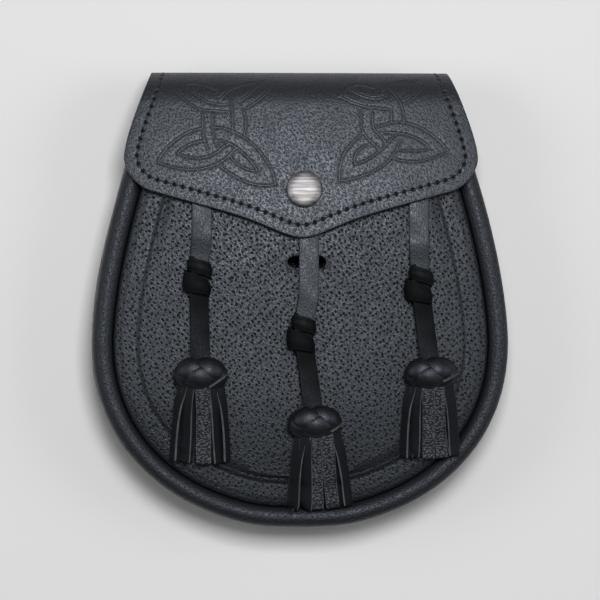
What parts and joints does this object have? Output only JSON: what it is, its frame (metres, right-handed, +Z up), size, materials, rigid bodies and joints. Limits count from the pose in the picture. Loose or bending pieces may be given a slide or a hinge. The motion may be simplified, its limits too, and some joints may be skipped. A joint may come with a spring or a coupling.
{
  "type": "sporran pouch",
  "caption": "Rounded leather pouch worn at the waist, with a snapped flap over its mouth, knotted tassels on its front and loops on its back for a strap.",
  "frame": {"origin": "on the surface that the pouch lies on, below the middle of its outline", "axes": "+Z up through the front of the pouch as it lies on its back, +Y up the pouch towards the fold of its flap, +X to the viewer's right"},
  "size_m": [0.1798, 0.1966, 0.0525],
  "materials": {
    "grained_leather": "black pigskin grain, satin",
    "smooth_leather": "black, smooth, semi-gloss",
    "brushed_nickel": "brushed nickel"
  },
  "bodies": {
    "root": {"back_panel": "smooth_leather", "gusset": "smooth_leather", "front_panel": "grained_leather", "flap": "grained_leather", "snap_cap": "brushed_nickel", "snap_stud": "brushed_nickel", "tassel_strap_left": "smooth_leather", "tassel_strap_centre": "smooth_leather", "tassel_strap_right": "smooth_leather", "tassel_knob_left": "smooth_leather", "tassel_knob_centre": "smooth_leather", "tassel_knob_right": "smooth_leather", "tassel_fringe_left": "smooth_leather", "tassel_fringe_centre": "smooth_leather", "tassel_fringe_right": "smooth_leather", "belt_loop_left": "smooth_leather", "belt_loop_right": "smooth_leather"}
  },
  "joints": []
}
